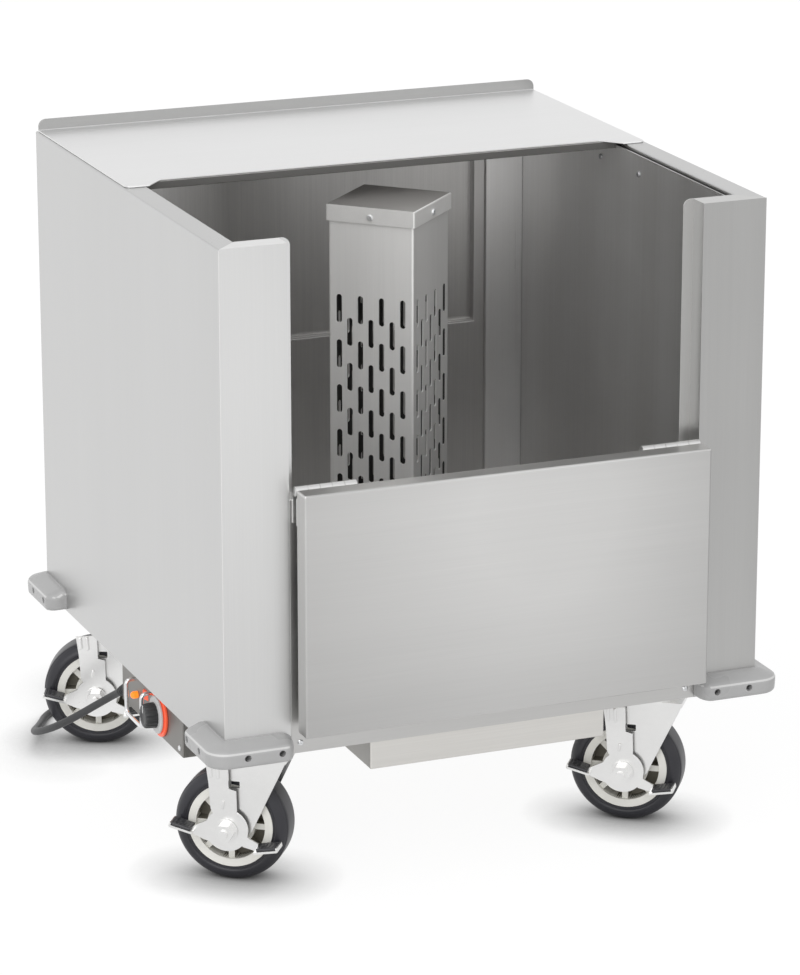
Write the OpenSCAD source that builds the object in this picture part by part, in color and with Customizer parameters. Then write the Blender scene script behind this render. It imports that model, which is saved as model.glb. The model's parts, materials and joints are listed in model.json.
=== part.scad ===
// Low mobile banquet cart with heated double walls, an air column in an open well,
// a drop-down front flap, a sliding top lid and four braked swivel casters.
// +X is the cart's right side, +Y its back and +Z up. The floor is at z = 0.

/* [Body] */
// Outside width of the body
body_width = 635; // [600:1:680]
// Outside depth of the body
body_depth = 630; // [600:1:680]
// Height of the body from its underside to its top
body_height = 568; // [520:1:620]
// Height of the underside above the floor
floor_gap = 172; // [168:1:190]
// Thickness of the double side walls
wall = 26; // [24:1:30]
// Thickness of the folded sheet metal
sheet = 1.5; // [1.2:0.1:1.8]
// Width of the front posts
post_width = 76; // [70:1:85]
// Width of the flange that stops the flap
stop_width = 12.5; // [8:0.5:16]
// Height of the lower front panel
front_height = 288; // [270:1:300]
// Height of the well's floor above the underside
well_floor = 45; // [40:1:60]

/* [Flap] */
// Height of the flap
flap_height = 273; // [200:1:274]
// Thickness of the flap
flap_thickness = 25; // [20:1:30]
// Gap between the flap and each front post
flap_side_gap = 2.8; // [2:0.1:5]
// Height of the hinge pin above the lower front panel
hinge_rise = 10.5; // [9:0.5:14]
// Distance from the hinge pin to the body's front face
hinge_reach = 6.75; // [6.5:0.05:8]
// Length of each hinge
hinge_length = 70; // [50:1:90]

/* [Lid] */
// Thickness of the lid's sheet
lid_sheet = 1.6; // [1.2:0.1:2.5]
// How far the lid is set back from the middle of the body
lid_setback = 12.5; // [8:0.5:16]
// Height of the upturned lip at the back of the lid
lip_height = 13; // [10:1:20]
// Depth of the lid's corner tabs in front of its main edge
tab_depth = 22.5; // [14:0.5:30]

/* [Air column] */
// Side of the square column
column_side = 104; // [90:1:120]
// Height of the column's cap above the underside
cap_top = 528; // [480:1:535]
// Depth of the cap's skirt
cap_skirt = 19; // [15:1:25]
// Height of one air slot
slot_height = 33; // [24:1:40]
// Width of one air slot
slot_width = 6.5; // [4:0.5:8]

/* [Casters] */
// Diameter of the wheels
wheel_diameter = 130; // [120:1:132]
// Width of the tyres
tyre_width = 44; // [36:1:46]
// Radius of the wheel's core under the tyre
core_radius = 48.5; // [46:0.5:50]
// Distance from the swivel axis back to the axle
trail = 38; // [32:1:42]
// Distance of the swivel axes from the body's sides
caster_inset = 77.5; // [70:0.5:85]

/* [Heater and controls] */
// Width of the heater box under the body
heater_width = 282; // [240:1:290]
// Depth of the heater box down from the underside
heater_drop = 40; // [34:1:44]
// Depth of the control box down from the underside
control_drop = 66; // [60:1:72]

/* [Hidden] */
$fn = 48;

// Clearances that the fits share
part_gap = 0.3;
slide_gap = 0.2;
pin_gap = 0.05;
screw_gap = 0.1;

// Body
hw = body_width / 2;
hd = body_depth / 2;
post_inner = hw - post_width;
post_depth = flap_thickness + part_gap + sheet;
liner_slot = 3;
liner_out = hw - wall - liner_slot;
liner_in = liner_out - sheet;
liner_top = body_height - 4;
front_in = -hd + post_depth;
back_in = hd - wall;
deck_drop = 8;
back_step = 10;
recess_floor = 295;
recess_half = 224;
frame_half = 238;
bumper_proud = 23.65;
flap_reach = hinge_reach + part_gap / 2;
flap_proud = hinge_reach + flap_reach + flap_thickness;
body_shift = (flap_proud - bumper_proud) / 2;

// Flap, in the body's own heights
hinge_y = -hd - hinge_reach;
hinge_z = front_height + hinge_rise;
flap_lap = 3.5;
flap_half = post_inner - flap_side_gap;
flap_back = hinge_y - flap_reach;
flap_front = flap_back - flap_thickness;
flap_top = hinge_z + flap_lap;
flap_bottom = flap_top - flap_height;
leaf = 2;
leaf_height = 30;
barrel_radius = 5.5;
hinge_pin_radius = 2.5;
knuckles = 5;

// Lid
lid_half = hw - 1.5;
lid_back = hd - 4;
lid_leg_depth = 12;
tab_inner = 288;

// Air column
cap_side = column_side + 4.8;
column_base = 14;
slot_pitch_across = 13;
slot_pitch_up = 53;
slot_columns = 7;
slot_rows = 7;
slot_top = 424;
screw_radius = 2;
screw_head = 4;

// Heater and blower
heater_front = -294;
heater_back = 130;
element_radius = 4;
element_run = 100;
element_pitch = 40;
element_z = -20;
shaft_radius = 3;
blower_radius = 60;
motor_radius = 34;

// Control box
control_out = -hw + 20;
control_in = control_out + 82;
control_front = -118;
control_back = 93;
dial_y = -43;
dial_z = -38;
bezel_radius = 26;
bezel_thick = 3.5;
lamp_y = 40;
lamp_z = -42;
lamp_radius = 4.3;
rocker_y = 8;
rocker_z = -32;
rocker_radius = 7;
rocker_long = 11;
rocker_sink = 3;
guard_radius = 2.5;
guard_reach = 15;
guard_front = -20;
guard_rear = 34;
guard_low = -60;
guard_high = -20;
relief_x = -285;
relief_z = -54;
relief_knuckle = 9;
relief_length = 22;
relief_lean = [-0.3, 0.8, -0.52];

// Bumpers
bumper_height = 26;
bumper_ridge = 17;
bumper_core = 2;
bumper_leg = 76.5;
bumper_end = 12;
bumper_tip = 9;
bumper_hole = 3.8;
bumper_screw_z = 11;

// Casters
wheel_radius = wheel_diameter / 2;
caster_x = hw - caster_inset;
caster_y = hd - caster_inset;
turns = [36, 36, 24, 28];
side = [-1, 1, -1, 1];
back = [-1, -1, 1, 1];
plate_thick = 4;
plate_x = 102;
plate_y = 76;
bolt_x = 40;
bolt_y = 28;
bolt_radius = 4;
king_radius = 6;
axle_radius = 5;
leg_thick = 3;
leg_in = 25;
crown_top = floor_gap - 22;
crown_thick = 5;
race_radius = 26;
brake_in = 33;
brake_thick = 2.5;
disc_radius = 24.5;

// Cord, with its route on the floor and its coil behind the cart
cord_d = 9;
cord_sides = 8;
route = [
  [-291.7, 127.25, 106.5], [-295.9, 138.4, 99.2], [-303, 147.5, 91.5], [-313, 154.5, 83.5],
  [-324, 161.5, 75], [-335.5, 169.5, 66], [-346, 180, 57], [-354, 192.5, 48.5],
  [-359.5, 207, 41], [-362.5, 222, 34.5], [-362.5, 237, 29], [-360, 252, 24], [-355, 267, 19.5],
  [-348.5, 282, 15.5], [-341.5, 297, 12], [-334.5, 312, 9], [-327, 328, 6.4], [-318, 345, 4.8],
  [-305, 360, 4.5], [-288, 371.5, 4.5], [-268, 378, 4.5], [-250, 379.8, 4.5], [-237, 380, 4.5]];
tail = [
  [-174, 380, 22.5], [-158, 380.5, 22.5], [-140, 382, 19.5], [-122, 385, 14.5], [-104, 389, 11.5],
  [-88, 393, 11]];
coil_x = -205;
coil_y = 432;
coil_turn = 48;
coil_wide = 2;
coil_high = 3;

module at_body() {
  translate([0, body_shift, floor_gap]) children();
}

// A flat plate between two corners given in the body's own frame
module block(low, high) {
  translate(low) cube(high - low);
}

// Body: folded sheet

module side_panel(s) {
  color("lightgray") at_body() mirror([s < 0 ? 1 : 0, 0, 0]) union() {
    block([hw - sheet, -hd + sheet, 0], [hw, hd - sheet, body_height - sheet]);
    translate([0, 0, body_height - sheet]) linear_extrude(sheet) polygon([
      [hw, -hd], [hw, hd], [hw - wall, back_in], [hw - wall, front_in]]);
    block([hw - wall, front_in, body_height - deck_drop],
      [hw - wall + sheet, back_in, body_height - sheet]);
  }
}

module left_side_panel() {
  side_panel(-1);
}

module right_side_panel() {
  side_panel(1);
}

// The stop flange's top inner corner is round
module stop_outline() {
  round_top = 9;
  union() {
    translate([-stop_width, 0]) square([stop_width, body_height - front_height - round_top]);
    translate([-stop_width + round_top, body_height - front_height - round_top])
      intersection() {
        circle(round_top);
        translate([-round_top, 0]) square(round_top);
      }
    translate([-stop_width + round_top, body_height - front_height - round_top])
      square([stop_width - round_top, round_top]);
  }
}

module front_post(s) {
  color("whitesmoke") at_body() mirror([s < 0 ? 1 : 0, 0, 0]) union() {
    block([post_inner, -hd, 0], [hw, -hd + sheet, body_height - sheet]);
    translate([0, 0, body_height - sheet]) linear_extrude(sheet) polygon([
      [hw, -hd], [hw - wall, front_in], [post_inner, front_in], [post_inner, -hd]]);
    block([post_inner, -hd + sheet, sheet],
      [post_inner + sheet, front_in - sheet, body_height - sheet]);
    translate([post_inner, front_in, front_height]) rotate([90, 0, 0])
      linear_extrude(sheet) stop_outline();
    block([post_inner, front_in - sheet, front_height],
      [post_inner + sheet, front_in, body_height - sheet]);
  }
}

module left_front_post() {
  front_post(-1);
}

module right_front_post() {
  front_post(1);
}

module back_panel() {
  color("lightgray") at_body() union() {
    block([-hw, hd - sheet, 0], [hw, hd, body_height - sheet]);
    translate([0, 0, body_height - sheet]) linear_extrude(sheet) polygon([
      [-hw, hd], [hw, hd], [hw - wall, back_in], [-hw + wall, back_in]]);
  }
}

module front_panel() {
  color("gainsboro") at_body() union() {
    block([-post_inner, -hd, 0], [post_inner, -hd + sheet, front_height]);
    block([-post_inner, -hd + sheet, front_height - sheet], [post_inner, front_in, front_height]);
  }
}

module front_liner() {
  color("dimgray") at_body()
    block([-post_inner - sheet, front_in - sheet, well_floor],
      [post_inner + sheet, front_in, front_height - sheet]);
}

// Each side liner turns the front corner and closes the back of its post
module side_liner(s) {
  color("dimgray") at_body() mirror([s < 0 ? 1 : 0, 0, 0]) difference() {
    union() {
      block([liner_in, front_in, well_floor], [liner_out, back_in, liner_top]);
      block([post_inner + sheet, front_in - sheet, well_floor],
        [liner_out, front_in, body_height - sheet]);
    }
    for (y = liner_screw_places)
      translate([liner_in - 1, y, liner_screw_z]) rotate([0, 90, 0])
        cylinder(r = screw_radius + screw_gap, h = sheet + 2);
  }
}
liner_screw_places = [-54, 49];
liner_screw_z = body_height - 26;

module left_liner() {
  side_liner(-1);
}

module right_liner() {
  side_liner(1);
}

// The back liner has a shallow recess above a ledge, and a channel in each corner
module back_liner() {
  top = body_height - deck_drop;
  face = back_in - back_step;
  color("gray") at_body() union() {
    block([-frame_half, face, well_floor], [frame_half, face + sheet, recess_floor]);
    block([-recess_half, face + sheet, recess_floor - sheet], [recess_half, back_in, recess_floor]);
    block([-recess_half, back_in, recess_floor - sheet], [recess_half, back_in + sheet, top]);
    for (s = [-1, 1])
      mirror([s < 0 ? 1 : 0, 0, 0]) {
        block([recess_half, face, recess_floor], [frame_half, face + sheet, top]);
        block([recess_half, face + sheet, recess_floor - sheet],
          [recess_half + sheet, back_in + sheet, top]);
        block([frame_half, face - 4, well_floor], [liner_in, face - 4 + sheet, top]);
        block([frame_half, face - 4 + sheet, well_floor], [frame_half + sheet, back_in, top]);
      }
  }
}

module well_floor_plate() {
  color("dimgray") at_body() difference() {
    block([-liner_in, front_in, well_floor],
      [liner_in, back_in - back_step - 4, well_floor + sheet]);
    column_square(column_side, well_floor - 1, sheet + 2);
  }
}

module rear_deck() {
  top = body_height;
  color("silver") at_body() difference() {
    block([-liner_in, lid_setback - 3.5, top - deck_drop], [liner_in, back_in, top]);
    block([-liner_in + sheet, lid_setback - 3.5 + sheet, top - deck_drop - 1],
      [liner_in - sheet, back_in - sheet, top - sheet]);
  }
}

module base_pan() {
  half = heater_width / 2 - 11;
  color("silver") at_body() difference() {
    block([-hw + sheet, -hd + sheet, 0], [hw - sheet, hd - sheet, sheet]);
    block([-half, heater_front + 14, -1], [half, heater_back - 14, sheet + 1]);
    for (i = [0:3])
      translate([side[i] * caster_x, back[i] * caster_y, -1]) bolt_places()
        cylinder(r = bolt_radius + screw_gap, h = sheet + 2);
  }
}

module wall_insulation() {
  low = 6;
  high = body_height - 40;
  color("khaki") at_body() {
    for (s = [-1, 1])
      mirror([s < 0 ? 1 : 0, 0, 0])
        block([liner_out + 1, front_in + 4, low], [hw - sheet, back_in + sheet, high]);
    block([-liner_in + 2, back_in + sheet, low], [liner_in - 2, hd - sheet, high]);
    block([-post_inner + 1, -hd + sheet, low], [post_inner - 1, front_in - sheet, front_height - 6]);
  }
}

// Air column: a slotted square tube turned by 45 degrees

module column_square(width, z, h) {
  rotate([0, 0, 45]) translate([-width / 2, -width / 2, z]) cube([width, width, h]);
}

module slot_outline() {
  straight = slot_height - slot_width;
  union() {
    square([slot_width, straight], center = true);
    for (s = [-1, 1])
      translate([0, s * straight / 2]) circle(slot_width / 2, $fn = 16);
  }
}

module column_slots() {
  first = -(slot_columns - 1) / 2 * slot_pitch_across;
  for (face = [0, 1])
    for (i = [0:slot_columns - 1])
      for (j = [0:slot_rows - 1 - i % 2])
        rotate([0, 0, 45 + 90 * face])
          translate([first + i * slot_pitch_across, column_side,
            slot_top - slot_height / 2 - j * slot_pitch_up - (i % 2) * slot_pitch_up / 2])
            rotate([90, 0, 0]) linear_extrude(2 * column_side) slot_outline();
}

// One screw through each face of the cap's skirt
module cap_screw_places() {
  for (a = [0:3])
    rotate([0, 0, 45 + 90 * a]) translate([0, cap_side / 2, cap_top - cap_skirt / 2 - 2])
      rotate([90, 0, 0]) children();
}

module air_column() {
  color("gray") at_body() difference() {
    column_square(column_side, column_base, cap_top - sheet - column_base);
    column_square(column_side - 2 * sheet, column_base - 1, cap_top);
    column_slots();
    cap_screw_places() translate([0, 0, -10]) cylinder(r = screw_radius, h = 20);
  }
}

module column_cap() {
  color("lightgray") at_body() difference() {
    column_square(cap_side, cap_top - cap_skirt, cap_skirt);
    column_square(cap_side - 2 * sheet, cap_top - cap_skirt - 1, cap_skirt + 1 - sheet);
    cap_screw_places() translate([0, 0, -10]) cylinder(r = screw_radius, h = 20);
  }
}

module column_screws() {
  color("silver") at_body() cap_screw_places() {
    cylinder(r = screw_radius, h = 8);
    translate([0, 0, -2]) cylinder(r1 = screw_head - 1, r2 = screw_head, h = 2);
  }
}

// Heater box, heating element and blower

module heater_box() {
  half = heater_width / 2;
  color("silver") at_body() difference() {
    block([-half, heater_front, -heater_drop], [half, heater_back, 0]);
    block([-half + sheet, heater_front + sheet, -heater_drop + sheet],
      [half - sheet, heater_back - sheet, 1]);
  }
}

// A tubular element in four runs, held by two clips on the box's floor
module heating_element() {
  first = heater_front + 44;
  color("saddlebrown") at_body() union() {
    for (i = [0:3])
      translate([-element_run, first + i * element_pitch, element_z]) rotate([0, 90, 0])
        cylinder(r = element_radius, h = 2 * element_run);
    for (i = [0:2])
      translate([i % 2 == 0 ? element_run : -element_run, first + (i + 0.5) * element_pitch,
        element_z])
        rotate([0, 0, i % 2 == 0 ? -90 : 90]) rotate_extrude(angle = 180)
          translate([element_pitch / 2, 0]) circle(element_radius);
    for (i = [0, 3])
      translate([-heater_width / 2 + sheet, first + i * element_pitch, element_z])
        rotate([0, 90, 0]) cylinder(r = element_radius, h = heater_width / 2 - sheet - element_run);
    for (x = [-60, 60])
      block([x - 2, first - 6, -heater_drop + sheet],
        [x + 2, first + 3 * element_pitch + 6, element_z - 2]);
  }
}

module blower_motor() {
  arm = column_side / 2 - sheet;
  color("dimgray") at_body() difference() {
    union() {
      cylinder(r = motor_radius, h = 34);
      translate([0, 0, 17]) rotate([0, 0, 45]) cube([2 * arm, 14, 4], center = true);
    }
    translate([0, 0, -1]) cylinder(r = shaft_radius + pin_gap, h = 21);
  }
}

// A backward-curved wheel on the motor's shaft
module blower_wheel() {
  blades = 12;
  low = -heater_drop + 7;
  high = -6;
  color("silver") at_body() union() {
    translate([0, 0, low]) cylinder(r = blower_radius, h = 2);
    translate([0, 0, low]) cylinder(r = 10, h = 12);
    translate([0, 0, low]) cylinder(r = shaft_radius, h = 18 - low);
    translate([0, 0, high - 2]) difference() {
      cylinder(r = blower_radius, h = 2);
      translate([0, 0, -1]) cylinder(r = blower_radius - 22, h = 4);
    }
    for (i = [0:blades - 1])
      rotate([0, 0, i * 360 / blades]) translate([blower_radius - 21, 0, low]) rotate([0, 0, 35])
        cube([18, 1.5, high - low]);
  }
}

// Control box at the left underside

module at_face(y, z) {
  translate([control_out, y, z]) rotate([0, -90, 0]) children();
}

module control_box() {
  color("gray") at_body() difference() {
    block([control_out, control_front, -control_drop], [control_in, control_back, 0]);
    block([control_out + sheet, control_front + sheet, -control_drop + sheet],
      [control_in - sheet, control_back - sheet, 1]);
    at_face(dial_y, dial_z) translate([0, 0, -5]) cylinder(r = 8, h = 10);
    at_face(lamp_y, lamp_z) translate([0, 0, -5]) cylinder(r = lamp_radius, h = 10);
    at_rocker() rocker_cut();
    translate([relief_x, control_back - 5, relief_z]) rotate([-90, 0, 0]) cylinder(r = 7, h = 10);
  }
}

module at_rocker() {
  at_face(rocker_y, rocker_z) translate([0, 0, -rocker_sink]) children();
}

module rocker_cut() {
  wide = 2 * (rocker_radius + part_gap);
  long = rocker_long + 2 * part_gap;
  cube([long, wide, wide], center = true);
}

module thermostat_bezel() {
  color("orangered") at_body() at_face(dial_y, dial_z) difference() {
    cylinder(r = bezel_radius, h = bezel_thick);
    translate([0, 0, -1]) cylinder(r = 14, h = bezel_thick + 2);
  }
}

// Skirt, grip and the shaft that turns the thermostat
module thermostat_dial() {
  grip = 15;
  color("black") at_body() at_face(dial_y, dial_z) union() {
    translate([0, 0, bezel_thick + part_gap]) cylinder(r = 22, h = 4);
    translate([0, 0, bezel_thick + 4]) cylinder(r = grip, h = 18);
    translate([0, 0, -12]) cylinder(r = shaft_radius, h = 18);
  }
}

module pilot_lamp() {
  color("orange") at_body() at_face(lamp_y, lamp_z) union() {
    translate([0, 0, -14]) cylinder(r = lamp_radius, h = 18);
    translate([0, 0, 4]) intersection() {
      sphere(lamp_radius);
      cylinder(r = lamp_radius + 1, h = lamp_radius);
    }
  }
}

// The rocker turns about a pin along the box's face, and its own shape is round about it
module rocker_switch() {
  color("orangered") at_body() at_rocker() rotate([0, 90, 0]) difference() {
    cylinder(r = rocker_radius, h = rocker_long, center = true);
    cylinder(r = 1.5 + pin_gap, h = rocker_long + 2, center = true);
    rotate([0, 0, 18]) translate([-rocker_radius - 4.6, -rocker_radius, -rocker_long])
      cube([rocker_radius, 2 * rocker_radius, 2 * rocker_long]);
  }
}

// Thermostat body and switch body behind the box's face
module control_internals() {
  pin_end = rocker_long / 2 + 3;
  color("dimgray") at_body() {
    difference() {
      at_face(dial_y, dial_z) translate([-20, -20, -24]) cube([40, 40, 24 - sheet]);
      at_face(dial_y, dial_z) translate([0, 0, -14]) cylinder(r = shaft_radius + pin_gap, h = 20);
    }
    difference() {
      at_face(rocker_y, rocker_z) translate([-9, -11, -20]) cube([18, 22, 20 - sheet]);
      at_rocker() rocker_cut();
    }
    at_rocker() rotate([0, 90, 0]) cylinder(r = 1.5, h = 2 * pin_end, center = true);
  }
}

// A bent bar that hangs in front of the switch and the lamp, with both ends in the box's face
module control_guard() {
  color("silver") at_body() union() {
    for (y = [guard_front, guard_rear]) {
      at_face(y, guard_high) cylinder(r = guard_radius, h = guard_reach);
      for (z = [guard_low, guard_high])
        at_face(y, z) translate([0, 0, guard_reach]) sphere(guard_radius);
      translate([control_out - guard_reach, y, guard_low])
        cylinder(r = guard_radius, h = guard_high - guard_low);
    }
    translate([control_out - guard_reach, guard_front, guard_low]) rotate([-90, 0, 0])
      cylinder(r = guard_radius, h = guard_rear - guard_front);
  }
}

// Inner nut, collar and a tapered sleeve that leans outwards and down to the cord's start
module strain_relief() {
  color("black") at_body() translate([relief_x, control_back, relief_z]) union() {
    rotate([-90, 0, 0]) {
      translate([0, 0, -sheet - 5]) cylinder(r = 10, h = 5);
      translate([0, 0, -sheet]) cylinder(r = 7, h = sheet);
      cylinder(r = 10, h = 4);
    }
    translate([0, relief_knuckle, 0]) {
      sphere(relief_knuckle - part_gap);
      rotate([0, acos(unit(relief_lean)[2]), atan2(relief_lean[1], relief_lean[0])])
        cylinder(r1 = relief_knuckle - 1.6, r2 = cord_d / 2 + 1.2, h = relief_length);
    }
  }
}

// Cord: a tube swept along its route, with one ring at each point

function unit(v) = v / norm(v);
function heading(p, i) = unit(p[min(i + 1, len(p) - 1)] - p[max(i - 1, 0)]);
function across(t) = unit(cross(t, [0, 0, 1]));
function ring(p, t, r) = [
  for (k = [0:cord_sides - 1])
    let (a = 360 * (k + 0.5) / cord_sides)
      p + r * (cos(a) * across(t) + sin(a) * cross(across(t), t))];
function tube_points(p, r) = [for (i = [0:len(p) - 1]) each ring(p[i], heading(p, i), r)];
function tube_sides(n) = [
  for (i = [0:n - 2])
    for (k = [0:cord_sides - 1])
      let (a = i * cord_sides + k, b = i * cord_sides + (k + 1) % cord_sides)
        each [[a, b, b + cord_sides], [a, b + cord_sides, a + cord_sides]]];
function tube_ends(n) = [
  [for (k = [cord_sides - 1:-1:0]) k],
  [for (k = [0:cord_sides - 1]) (n - 1) * cord_sides + k]];

module tube(p, r) {
  polyhedron(points = tube_points(p, r), faces = concat(tube_sides(len(p)), tube_ends(len(p))));
}

module cord() {
  inside = cord_d / cos(180 / cord_sides) / 2 * 0.96;
  color("black") {
    tube(route, inside);
    tube(tail, inside);
  }
}

module cord_coil() {
  wide = coil_wide * cord_d;
  high = coil_high * cord_d;
  color("black") translate([coil_x, coil_y, 0]) rotate_extrude()
    translate([coil_turn - wide / 2, 0]) square([wide, high]);
}

// Moulded plug with two blades and a round earth pin, lying flat
module plug() {
  end = tail[len(tail) - 1];
  along = atan2(end[1] - tail[len(tail) - 2][1], end[0] - tail[len(tail) - 2][0]);
  color("black") translate(end) rotate([0, 0, along]) union() {
    rotate([0, 90, 0]) cylinder(r1 = cord_d / 2 + 1, r2 = 8, h = 22);
    translate([22, -14, -11]) cube([26, 28, 22]);
    for (s = [-1, 1])
      translate([48, s * 6.35 - 0.75, -1]) cube([17, 1.5, 7]);
    translate([48, 0, -7]) rotate([0, 90, 0]) cylinder(r = 2.4, h = 19);
  }
}

// Corner bumpers and the screws that hold them

function bumper_profile(base) = [
  [0, 0], [base + bumper_proud - 0.8, 0], [base + bumper_proud, bumper_ridge - 1.5],
  [base + bumper_proud - 1.2, bumper_ridge + 0.8], [base + 0.8 * bumper_proud, bumper_ridge + 3.2],
  [base + 0.35 * bumper_proud, bumper_height - 1], [base + 3, bumper_height], [0, bumper_height]];

// One leg from the corner along x, its end rounded in plan and at the top
module bumper_arm() {
  length = bumper_leg - bumper_core;
  reach = bumper_core + bumper_proud + 0.6;
  top = bumper_height + 0.5;
  intersection() {
    rotate([90, 0, 90]) linear_extrude(length + 2) polygon(bumper_profile(bumper_core));
    translate([0, 0, -1]) linear_extrude(bumper_height + 2) polygon(concat(
      [[-1, -1], [length, -1]],
      [for (a = [0:15:90]) [length - bumper_end * (1 - cos(a)), reach - bumper_end * (1 - sin(a))]],
      [[-1, reach]]));
    translate([0, reach + 1, 0]) rotate([90, 0, 0]) linear_extrude(reach + 3) polygon(concat(
      [[-1, -1], [length + 0.5, -1]],
      [for (a = [0:15:90]) [length + 0.5 - bumper_tip * (1 - cos(a)), top - bumper_tip * (1 - sin(a))]],
      [[-1, top]]));
  }
}

module bumper() {
  difference() {
    translate([hw - bumper_core, hd - bumper_core, 0]) union() {
      rotate_extrude(angle = 90) polygon(bumper_profile(bumper_core));
      mirror([1, 0, 0]) bumper_arm();
      rotate([0, 0, -90]) bumper_arm();
    }
    translate([0, 0, -1]) block([0, 0, 0], [hw, hd, bumper_height + 2]);
    bumper_screw_places() {
      translate([0, 0, 12]) cylinder(r = bumper_hole, h = 20);
      translate([0, 0, -1]) cylinder(r = screw_radius + screw_gap, h = 20);
    }
  }
}

module bumper_screw_places() {
  for (along = [18, bumper_leg - 19]) {
    translate([hw - along, hd, bumper_screw_z]) rotate([-90, 0, 0]) children();
    translate([hw, hd - along, bumper_screw_z]) rotate([0, 90, 0]) children();
  }
}

module each_bumper() {
  for (s = [0, 1], t = [0, 1])
    mirror([s, 0, 0]) mirror([0, t, 0]) children();
}

module corner_bumpers() {
  color("darkgray") at_body() each_bumper() bumper();
}

module pan_screw(head, shank) {
  cylinder(r = screw_radius, h = shank);
  translate([0, 0, shank]) cylinder(r1 = head, r2 = head - 0.8, h = 2);
}

// Screws of the bumpers and of the side liners
module body_screws() {
  color("silver") at_body() {
    each_bumper() bumper_screw_places() pan_screw(bumper_hole - 0.3, 12);
    for (s = [0, 1])
      mirror([s, 0, 0])
        for (y = liner_screw_places)
          translate([liner_in + 4, y, liner_screw_z]) rotate([0, -90, 0]) pan_screw(3.5, 4);
  }
}

// Flap and its two hinges

function knuckle_length() = hinge_length / knuckles - part_gap;
function knuckle_start(k) = k * hinge_length / knuckles + part_gap / 2;

module hinge_places() {
  for (s = [0, 1])
    mirror([s, 0, 0]) translate([flap_half - hinge_length - 0.7, hinge_y, hinge_z]) children();
}

// One leaf: knuckles of one parity, their webs and the plate below them
module hinge_leaf(parity, near, far) {
  low = min(near, far);
  thick = abs(far - near);
  for (k = [parity:2:knuckles - 1])
    translate([knuckle_start(k), 0, 0]) {
      rotate([0, 90, 0]) cylinder(r = barrel_radius, h = knuckle_length());
      translate([0, low, -7]) cube([knuckle_length(), thick, 7]);
    }
  translate([0, low, -leaf_height - 6.5]) cube([hinge_length, thick, leaf_height]);
}

module hinge_fixed_leaves() {
  color("silver") at_body() hinge_places() union() {
    hinge_leaf(0, hinge_reach - leaf, hinge_reach);
    rotate([0, 90, 0]) cylinder(r = hinge_pin_radius, h = hinge_length);
  }
}

module hinge_moving_leaves() {
  color("silver") at_body() hinge_places() difference() {
    hinge_leaf(1, -flap_reach, -flap_reach + leaf);
    translate([-1, 0, 0]) rotate([0, 90, 0])
      cylinder(r = hinge_pin_radius + pin_gap, h = hinge_length + 2);
  }
}

module flap_shell() {
  color("lightgray") at_body() difference() {
    block([-flap_half, flap_front, flap_bottom], [flap_half, flap_back, flap_top]);
    block([-flap_half + sheet, flap_front - 1, flap_bottom + sheet],
      [flap_half - sheet, flap_back - sheet, flap_top - sheet]);
  }
}

module flap_inner_panel() {
  color("lightgray") at_body()
    block([-flap_half + sheet, flap_front, flap_bottom + sheet],
      [flap_half - sheet, flap_front + sheet, flap_top - sheet]);
}

module flap_core() {
  color("khaki") at_body()
    block([-flap_half + sheet, flap_front + sheet, flap_bottom + sheet],
      [flap_half - sheet, flap_back - sheet, flap_top - sheet]);
}

// Lid: a sheet with corner tabs, guide legs in the side slots and an upturned back lip

module lid_outline() {
  corner = 8;
  tab_front = lid_setback - tab_depth;
  edge = 20;
  union() {
    polygon([
      [-lid_half, lid_back], [-lid_half, tab_front + corner], [-lid_half + corner, tab_front + corner],
      [-lid_half + corner, tab_front], [-tab_inner, tab_front], [-tab_inner + edge, lid_setback],
      [tab_inner - edge, lid_setback], [tab_inner, tab_front], [lid_half - corner, tab_front],
      [lid_half - corner, tab_front + corner], [lid_half, tab_front + corner],
      [lid_half, lid_back]]);
    for (s = [-1, 1])
      translate([s * (lid_half - corner), tab_front + corner]) circle(corner);
  }
}

module lid() {
  low = body_height + slide_gap;
  leg_x = liner_out + liner_slot / 2;
  lip_round = 9;
  color("whitesmoke") at_body() union() {
    translate([0, 0, low]) linear_extrude(lid_sheet) lid_outline();
    for (s = [0, 1])
      mirror([s, 0, 0])
        block([leg_x - sheet / 2, lid_setback + 4, body_height - lid_leg_depth],
          [leg_x + sheet / 2, back_in - 3, low + lid_sheet / 2]);
    translate([0, lid_back, low]) rotate([90, 0, 0]) linear_extrude(lid_sheet) union() {
      translate([-lid_half, 0]) square([2 * lid_half, lip_height + lid_sheet - lip_round]);
      translate([-lid_half + lip_round, 0])
        square([2 * (lid_half - lip_round), lip_height + lid_sheet]);
      for (s = [-1, 1])
        translate([s * (lid_half - lip_round), lip_height + lid_sheet - lip_round])
          intersection() {
            circle(lip_round);
            translate([-lip_round, 0]) square([2 * lip_round, lip_round]);
          }
    }
  }
}

// Casters. In a caster's own frame the swivel axis is at the origin, the axle lies at
// x = trail and the outer side, with the brake, is at +y.

module at_caster(i) {
  translate([side[i] * caster_x, body_shift + back[i] * caster_y, 0])
    rotate([0, 0, 180 - turns[i]]) children();
}

module at_axle(i) {
  at_caster(i) translate([trail, 0, wheel_radius]) children();
}

module bolt_places() {
  for (x = [-bolt_x, bolt_x])
    for (y = [-bolt_y, bolt_y])
      translate([x, y, 0]) children();
}

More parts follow.
